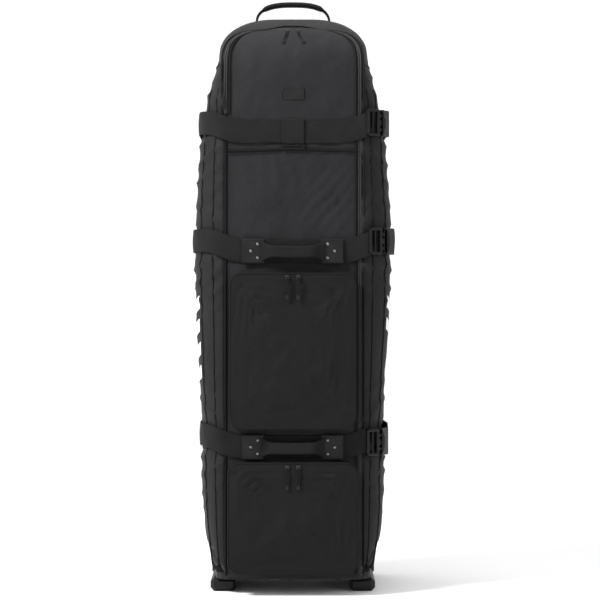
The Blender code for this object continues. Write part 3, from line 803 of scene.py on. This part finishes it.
def make_strap(name):
    height = STRAPS[name][0]
    body = "strap_" + name
    side_x = strap_half(name) + 0.005
    ring_low, ring_high = corners("ring_" + name)
    corner_y = FRONT_Y + CORNER_DEPTH
    lift = 0.0045
    path = [(-side_x, y) for y in levels(ring_low.y - 0.002, corner_y, 10)]
    for step in range(1, 16):
        x, y = corner_point(name, 90 * step / 16, lift)
        path.append((-x, y))
    path += [(x, FRONT_Y - lift) for x in levels(-PANEL_HALF, PANEL_HALF - 0.015, 34)]
    path += [(PANEL_HALF - 0.004, FRONT_Y - lift - 0.001)]
    for turn, off in ((88, 0.0056), (84, 0.0072), (80, 0.0090), (76, 0.0104), (71, 0.0112)):
        path.append(corner_point(name, turn, off))
    points = []
    for x, y in path:
        z = strap_height(name, x) + 0.0012 * math.sin(x * 31 + height * 9)
        points.append((x, y, z))
    strap = webbing_strip("strap_webbing_" + name, points)
    finish_piece(strap, body, "webbing", "strap_" + name)
    for edge in (-1, 1):
        line = [(x, y - 0.0012, z + edge * (WEBBING / 2 - 0.004)) for x, y, z in points
                if abs(x) < PANEL_HALF - 0.01]
        dashes("strap_stitches_%s_%d" % (name, edge > 0), line, body)

    side = [corner_point(name, turn, 0.0095) for turn in (19, 9)]
    side += [(strap_half(name) + off, y) for off, y in
             ((0.007, corner_y + 0.01), (0.0045, 0.0), (0.004, 0.06), (0.003, 0.10), (-0.001, 0.112))]
    tail = [(x, y, strap_height(name, x)) for x, y in side]
    strip = webbing_strip("side_webbing_" + name, tail)
    finish_piece(strip, "root", "webbing", "buckle_webbing_" + name)
    ring_z = (ring_low.z + ring_high.z) / 2
    ring_x = strap_half(name)
    anchor = [(-ring_x - 0.0045, ring_low.y + 0.016, ring_z), (-ring_x - 0.0035, 0.100, ring_z),
              (-ring_x - 0.002, 0.116, ring_z), (-ring_x + 0.003, 0.128, ring_z)]
    strip = webbing_strip("ring_anchor_" + name, anchor)
    finish_piece(strip, "root", "webbing", "ring_webbing_" + name)


def buckle_place(name, turn):
    x, y = corner_point(name, turn, 0.0115)
    ahead = corner_point(name, turn - 1, 0.0115)
    heading = math.atan2(ahead[1] - y, ahead[0] - x)
    low, high = corners("buckle_female_" + name)
    z = (low.z + high.z) / 2
    return Matrix.Translation((x, y, z)) @ Matrix.Rotation(heading, 4, "Z")


def buckle_part(name, place, size, shift, bevel=0.0015, material=None):
    return bar(name, size, place @ Matrix.Translation(shift), material or PLASTIC, bevel)


def make_buckle(name):
    """A side-release buckle: the male frame with its arms, and the female shell."""
    male = buckle_place(name, 65.0)
    female = buckle_place(name, 36.5)
    half = 0.0165
    parts = [buckle_part("m1", male, (0.006, 0.009, 0.058), (-half + 0.003, 0, 0), 0.002),
             buckle_part("m2", male, (0.007, 0.0085, 0.058), (half - 0.0035, 0, 0), 0.002),
             buckle_part("m3", male, (0.004, 0.007, 0.054), (-0.001, 0.0005, 0), 0.0015)]
    for side in (-1, 1):
        parts.append(buckle_part("m4", male, (0.033, 0.009, 0.006), (0, 0, side * 0.026), 0.002))
        parts.append(buckle_part("m5", male, (0.011, 0.004, 0.006), (half + 0.002, 0, side * 0.015)))
    parts.append(buckle_part("m6", male, (0.010, 0.003, 0.012), (half + 0.002, 0, 0), 0.001))
    for k in range(5):
        z = -0.018 + 0.009 * k
        parts.append(buckle_part("m7", male, (0.0045, 0.0012, 0.0022),
                                 (half - 0.0036, -0.0046, z), 0.0005))
    piece = join("buckle_arms_" + name, parts)
    finish_piece(piece, "strap_" + name, "black_plastic", "buckle_male_" + name)

    shell = [buckle_part("f1", female, (0.031, 0.0032, 0.056), (-0.001, -0.0038, 0), 0.0014),
             buckle_part("f2", female, (0.031, 0.0032, 0.056), (-0.001, 0.0038, 0), 0.0014),
             buckle_part("f3", female, (0.0065, 0.0105, 0.058), (half - 0.0033, 0, 0), 0.0022),
             buckle_part("f4", female, (0.004, 0.0105, 0.050), (0.004, 0, 0), 0.0015),
             buckle_part("f5", female, (0.0016, 0.0016, 0.044), (-0.0125, -0.0056, 0), 0.0007),
             buckle_part("f6", female, (0.012, 0.0014, 0.026), (-0.002, -0.0056, 0), 0.0006)]
    for side in (-1, 1):
        shell.append(buckle_part("f7", female, (0.008, 0.0105, 0.005), (-half + 0.004, 0, side * 0.0265),
                                 0.002))
        shell.append(buckle_part("f8", female, (0.010, 0.0105, 0.005), (0.008, 0, side * 0.0265),
                                 0.002))
        shell.append(buckle_part("f9", female, (0.012, 0.0055, 0.0045), (-0.004, 0, side * 0.0245),
                                 0.0018))
    piece = join("buckle_shell_" + name, shell)
    finish_piece(piece, "root", "black_plastic", "buckle_female_" + name)


def make_ring(name):
    low, high = corners("ring_" + name)
    middle = (low + high) / 2
    points = [(middle.x, middle.y + x, middle.z + z)
              for x, z in outline((high.y - low.y) / 2 - 0.0024, (high.z - low.z) / 2 - 0.0024, 0.006)]
    ring = tube("side_ring_" + name, points, 0.0024, PLASTIC, closed=True, resolution=4)
    finish_piece(ring, "root", "black_plastic", "ring_" + name)


def make_keeper():
    """A webbing loop folded round the top strap, sewn across, with a tri-glide below."""
    low, high = corners("strap_keeper")
    middle = (low + high) / 2
    half_y, half_z = (high.y - low.y) / 2 - 0.0009, (high.z - low.z) / 2 - 0.0009
    rows = []
    for x in levels(low.x + 0.0006, high.x - 0.0006, 9):
        row = [(x, middle.y + y, middle.z + z) for y, z in outline(half_y, half_z, half_y * 0.9, 6, 8)]
        rows.append(row)
    loop = grid("keeper_loop", rows, STRAP_WEBBING, closed=True)
    thicken(loop, 0.0016, offset=0.0)
    round_off(loop, 0.0004, 2)
    finish_piece(loop, "keeper", "webbing", "strap_keeper")
    front = low.y + 0.0002
    for k, x in enumerate((low.x + 0.004, high.x - 0.004)):
        dashes("keeper_stitches_%d" % k, [(x, front, z) for z in levels(low.z + 0.004, high.z - 0.004, 12)],
               "keeper")
    glide_low, glide_high = corners("tri_glide")
    size = glide_high - glide_low
    centre = (glide_low + glide_high) / 2
    place = Matrix.Translation(centre)
    parts = []
    for dz in (-1, 1):
        parts.append(bar("g1", (size.x, size.y * 0.7, 0.0028), place @ Matrix.Translation(
            (0, 0, dz * (size.z / 2 - 0.0014))), PLASTIC, 0.0012))
    for dx in (-1, 1):
        parts.append(bar("g2", (0.004, size.y * 0.7, size.z), place @ Matrix.Translation(
            (dx * (size.x / 2 - 0.002), 0, 0)), PLASTIC, 0.0012))
    parts.append(bar("g3", (size.x - 0.004, size.y * 0.5, 0.0022), place, PLASTIC, 0.0008))
    finish_piece(join("glide_bar", parts), "keeper", "black_plastic", "tri_glide")


def make_handle(name):
    """The backing patch, two riveted plates and the padded grip between them."""
    low, high = corners("handle_base_" + name)
    height = (low.z + high.z) / 2
    back = high.y
    body = "strap_" + name
    patch = bar("p0", (2 * PLATE_INNER + 0.012, 0.0016, (high.z - low.z) * 0.92),
                Matrix.Translation((0, back - 0.0012, height)), STRAP_WEBBING, 0.0006)
    parts = [patch]
    plate_size = (PLATE_OUTER - PLATE_INNER, 0.0036, high.z - low.z)
    for side in (-1, 1):
        centre = (side * (PLATE_OUTER + PLATE_INNER) / 2, back - 0.0030, height)
        parts.append(bar("p1", plate_size, Matrix.Translation(centre), BASE_PLASTIC, 0.0014))
        rim = [(centre[0] + x, centre[1] - 0.0019, height + z)
               for x, z in outline(plate_size[0] / 2 - 0.003, plate_size[2] / 2 - 0.003, 0.005, 5, 3)]
        parts.append(tube("p2", rim, 0.0007, BASE_PLASTIC, closed=True))
    finish_piece(join("handle_plates_" + name, parts), body, "webbing", "handle_base_" + name)
    rivets = []
    for side in (-1, 1):
        inner = side * (PLATE_INNER + 0.014)
        for dx, dz in ((0.0, 0.015), (side * 0.0150, 0.000), (0.0, -0.015)):
            bm = bmesh.new()
            bmesh.ops.create_uvsphere(bm, u_segments=20, v_segments=10, radius=0.0034)
            bmesh.ops.scale(bm, vec=(1, 0.45, 1), verts=bm.verts)
            rivet = new_object("r", bm, RIVET)
            rivet.location = (inner + dx, back - 0.0050, height + dz)
            rivets.append(rivet)
            washer = [(inner + dx + 0.0044 * math.cos(a), back - 0.0049, height + dz + 0.0044 * math.sin(a))
                      for a in levels(0, 2 * math.pi * 15 / 16, 16)]
            rivets.append(tube("w", washer, 0.0007, PLASTIC, closed=True))
    finish_piece(join("handle_rivets_" + name, rivets), body, "axle_steel")

    grip_low, grip_high = corners("grip_" + name)
    bow = grip_high.y - 0.002 - grip_low.y - 0.005
    rows = []
    reach = PLATE_INNER + 0.006
    for k in range(41):
        t = k / 40
        swell = math.sin(math.pi * t)
        x = -reach + 2 * reach * t
        y = grip_high.y - 0.0038 - bow * smooth_step(1.5 * swell)
        end = 1.0 - smooth_step(6.0 * min(t, 1 - t))
        half_z = 0.0130 + 0.0075 * end + 0.0004 * math.sin(k * 1.3)
        half_y = 0.0016 + 0.0030 * smooth_step(1.8 * swell)
        z = height - 0.0022 * swell
        rows.append([(x, y + dy, z + dz)
                     for dy, dz in outline(half_y, half_z, half_y * 0.85, 5, 4)])
    grip = grid("grip_pad_" + name, rows, STRAP_WEBBING, closed=True)
    cap_ends(grip)
    finish_piece(grip, "grip_" + name, "webbing", "grip_" + name)
    for edge in (-1, 1):
        line = [(rows[k][0][0], min(co[1] for co in rows[k]) - 0.0001,
                 height - 0.0022 * math.sin(math.pi * k / 40) + edge * 0.0095) for k in range(5, 36)]
        dashes("grip_stitches_%s_%d" % (name, edge > 0), line, "grip_" + name)


def cap_ends(piece):
    bm = bmesh.new()
    bm.from_mesh(piece.data)
    bmesh.ops.holes_fill(bm, edges=bm.edges, sides=400)
    bmesh.ops.recalc_face_normals(bm, faces=bm.faces)
    bm.to_mesh(piece.data)
    bm.free()
    for face in piece.data.polygons:
        face.use_smooth = True


# ---------------------------------------------------------------- zip sliders and pulls

def make_slider(zip_name, side):
    node = "slider_%s_%s" % (zip_name, side)
    low, high = corners(node)
    middle = (low + high) / 2
    place = Matrix.Translation(middle)
    parts = [bar("s1", (0.0094, 0.0016, 0.0088), place @ Matrix.Translation((0, 0.0012, 0)), SLIDER, 0.0007),
             bar("s2", (0.0076, 0.0014, 0.0080), place @ Matrix.Translation((0, -0.0008, 0)), SLIDER, 0.0007),
             bar("s3", (0.0030, 0.0028, 0.0050), place, SLIDER, 0.0008)]
    bail = [(middle.x, middle.y - 0.0008 - 0.0018 * math.sin(a), middle.z - 0.0034 * math.cos(a))
            for a in levels(0.0, math.pi, 9)]
    parts.append(tube("s4", bail, 0.0008, SLIDER))
    finish_piece(join("slider_body_%s_%s" % (zip_name, side), parts), node, "zip_metal", node)


def make_pull(zip_name, side):
    """A braided loop through the slider's bail, its two legs sewn into a moulded end."""
    node = "pull_%s_%s" % (zip_name, side)
    low, high = corners(node)
    middle = (low + high) / 2
    top_y, end_y = (high.y, low.y) if zip_name == "main" else (middle.y, middle.y)
    length = high.z - low.z
    splay = (-0.009 if side == "left" else 0.012) if zip_name == "main" else 0.0
    points = []
    for k in range(40):
        turn = 2 * math.pi * k / 40
        down = 0.5 * (1 - math.cos(turn))
        wide = math.sin(turn) * (0.0030 + 0.0006 * math.cos(2 * turn))
        points.append((middle.x + wide + splay * down, top_y + (end_y - top_y) * down * 0.9 - 0.0003,
                       high.z - 0.0013 - down * (length - 0.0030)))
    loop = tube("l", points, 0.00135, CORD, closed=True, resolution=4)
    end = Matrix.Translation((middle.x + splay * 0.92, end_y + (0.0012 if zip_name == "main" else 0.0),
                              low.z + 0.0045))
    tab = bar("t", (0.0078, 0.0034, 0.0090), end, BASE_PLASTIC, 0.0014)
    finish_piece(join("pull_cord_%s_%s" % (zip_name, side), [loop, tab]), node, "pull_cord", node)


# ---------------------------------------------------------------- handle, base, wheels, marks

def make_top_handle():
    low, high = corners("top_handle")
    half = high.x - 0.004
    rise = high.z - 0.004 - (low.z + 0.004)
    y = (low.y + high.y) / 2
    foot = low.z + 0.0006
    rows = []
    for k in range(LOOP_STEPS + 1):
        turn = math.pi * (1 - k / LOOP_STEPS)
        x = half * math.copysign(abs(math.cos(turn)) ** 0.75, math.cos(turn))
        z = foot - 0.010 + (rise + 0.012) * max(0.0, math.sin(turn)) ** 0.8
        grip = smooth_step((0.070 - abs(x)) / 0.010)
        half_y = 0.0110 + 0.0030 * grip
        half_n = 0.0024 + 0.0026 * grip
        rows.append((Vector((x, y, z)), half_y, half_n))
    rings = []
    for k, (centre, half_y, half_n) in enumerate(rows):
        ahead = rows[min(k + 1, LOOP_STEPS)][0] - rows[max(k - 1, 0)][0]
        along = ahead.normalized()
        normal = Vector((-along.z, 0, along.x))
        rings.append([centre + Vector((0, 1, 0)) * dy + normal * dn
                      for dy, dn in outline(half_y, half_n, half_n * 0.9, 5, 4)])
    handle = grid("top_handle_loop", rings, STRAP_WEBBING, closed=True)
    cap_ends(handle)
    finish_piece(handle, "top_handle", "webbing", "top_handle")
    patches = []
    for side in (-1, 1):
        place = Matrix.Translation((side * 0.0835, y, CASE_TOP - 0.0068))
        place = place @ Matrix.Rotation(side * 0.22, 4, "Y")
        patches.append(bar("h", (0.030, 0.034, 0.0030), place, STRAP_WEBBING, 0.001))
    finish_piece(join("top_handle_patches", patches), "root", "webbing")


def make_patch():
    """A plain embossed badge on the hood, with no lettering."""
    z = BADGE_HEIGHT
    place = Matrix.Translation((0.0, front_y(z) - 0.0052, z))
    parts = [bar("badge_field", (0.050, 0.0016, 0.026), place, BASE_PLASTIC, 0.0007)]
    rim = [(x, front_y(z) - 0.0060, z + dz) for x, dz in outline(0.0235, 0.0115, 0.005, 6, 4)]
    parts.append(tube("badge_rim", rim, 0.0011, BASE_PLASTIC, closed=True))
    finish_piece(join("hood_badge", parts), "front_door", "black_plastic")


def make_side_bars():
    """Plain slanted white bars printed on both sides."""
    for side, name, low, high in ((-1, "left", 0.452, 0.655), (1, "right", 0.560, 0.655)):
        count = 4 if side < 0 else 2
        pitch = (high - low) / count
        for k in range(count):
            start = low + pitch * k
            rows = []
            for z_step in levels(0.0, pitch * 0.55, 8):
                row = []
                for turn in levels(2, 30, 10):
                    z = start + z_step + (turn - 2) / 28 * pitch * 0.35
                    x, y, _ = surface_point(z, turn, side, 0.0)
                    push = shell_depth(Vector((x, y, z))) + 0.0012
                    row.append(surface_point(z, turn, side, push))
                rows.append(row if side < 0 else row[::-1])
            mark = grid("side_bar_%s_%d" % (name, k), rows, PRINT)
            thicken(mark, 0.0006, offset=0.0)
            finish_piece(mark, "root", "black_plastic")


def dress_cad_nodes():
    """CAD nodes that stay get their own finishes."""
    finishes = {BASE_PLASTIC: ("base_tray", "foot_left", "foot_right", "wheel_housing_left",
                               "wheel_housing_right", "back_board"),
                STEEL: ("axle_left", "axle_right"),
                HUB_PLASTIC: ("hub_left", "hub_right"), LINING: ("hood_padding",)}
    for material, names in finishes.items():
        for name in names:
            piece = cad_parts[name]
            if piece.data.materials:
                piece.data.materials[0] = material
            else:
                piece.data.materials.append(material)


def make_tyre(side):
    """A grooved tyre turned about the axle."""
    node = "tyre_" + side
    low, high = corners(node)
    middle = (low + high) / 2
    radius = (high.z - low.z) / 2
    half = (high.x - low.x) / 2
    inner = 0.0300
    profile = [(inner, -half), (radius - 0.0045, -half), (radius - 0.0018, -half + 0.0018),
               (radius - 0.0004, -half + 0.0050)]
    for groove in (-0.005, 0.0, 0.005):
        profile += [(radius, groove - 0.0016), (radius - 0.0012, groove - 0.0007),
                    (radius - 0.0012, groove + 0.0007), (radius, groove + 0.0016)]
    profile += [(radius - 0.0004, half - 0.0050), (radius - 0.0018, half - 0.0018),
                (radius - 0.0045, half), (inner, half)]
    steps = 72
    rows = []
    for k in range(steps):
        turn = 2 * math.pi * k / steps
        rows.append([(middle.x + along, middle.y + r * math.cos(turn), middle.z + r * math.sin(turn))
                     for r, along in profile])
    rows.append(rows[0])
    tyre = grid(node + "_tread", rows, RUBBER, closed=True)
    bm = bmesh.new()
    bm.from_mesh(tyre.data)
    bmesh.ops.recalc_face_normals(bm, faces=bm.faces)
    bm.to_mesh(tyre.data)
    bm.free()
    finish_piece(tyre, "wheel_" + side, "wheel_rubber", node)


# ---------------------------------------------------------------- stage, light, camera

def make_stage():
    made = start_material("studio_floor", (0.93, 0.93, 0.93), 0.95)[0]
    reach, bend = 3.4, 1.6
    line = [(-9.0, 0.0), (reach, 0.0)]
    line += [(reach + bend * math.sin(turn), bend * (1 - math.cos(turn)))
             for turn in levels(0.1, math.pi / 2, 14)]
    line += [(reach + bend, 9.0)]
    floor = grid("floor", [[(x, y, z) for x in (9.0, -9.0)] for y, z in line], made)
    world = bpy.data.worlds.new("studio")
    bpy.context.scene.world = world
    world.use_nodes = True
    world.node_tree.nodes["Background"].inputs["Color"].default_value = (1.0, 1.0, 1.0, 1.0)
    world.node_tree.nodes["Background"].inputs["Strength"].default_value = 0.72
    bpy.context.scene.view_settings.view_transform = "Standard"
    for name, place, size, power in (("key", (-2.2, -1.5, 3.0), 0.8, 190.0),
                                     ("fill", (2.4, -2.6, 2.0), 1.6, 30.0),
                                     ("top", (0.0, 0.0, 3.6), 1.2, 40.0)):
        light = bpy.data.lights.new(name, "AREA")
        light.size = size
        light.energy = power
        lamp = bpy.data.objects.new(name, light)
        bpy.context.scene.collection.objects.link(lamp)
        lamp.location = place
        aim = Vector((0.0, 0.0, 0.65)) - Vector(place)
        lamp.rotation_euler = aim.to_track_quat("-Z", "Y").to_euler()


def make_camera():
    """Straight in front, at half the case's height, from four and a half metres."""
    data = bpy.data.cameras.new("camera")
    data.sensor_width = 36.0
    data.lens = 120.0
    camera = bpy.data.objects.new("camera", data)
    bpy.context.scene.collection.objects.link(camera)
    camera.location = (0.0158, -4.5, 0.640)
    camera.rotation_euler = (math.pi / 2, 0.0, 0.0)
    bpy.context.scene.camera = camera


make_camera()
make_stage()
make_shell()
make_front_panel()
make_main_zip()
make_side_seams()
make_panel_seam()
make_pocket("mid", "mid_flap", 11.0)
make_pocket("low", "low_flap", 23.0)
for strap_name in STRAPS:
    make_strap(strap_name)
    make_buckle(strap_name)
    make_ring(strap_name)
make_keeper()
for handle_name in ("mid", "low"):
    make_handle(handle_name)
for zip_kind in ("main", "mid", "low"):
    for zip_side in ("left", "right"):
        make_slider(zip_kind, zip_side)
        make_pull(zip_kind, zip_side)
make_top_handle()
make_patch()
make_side_bars()
for wheel_side in ("left", "right"):
    make_tyre(wheel_side)
dress_cad_nodes()
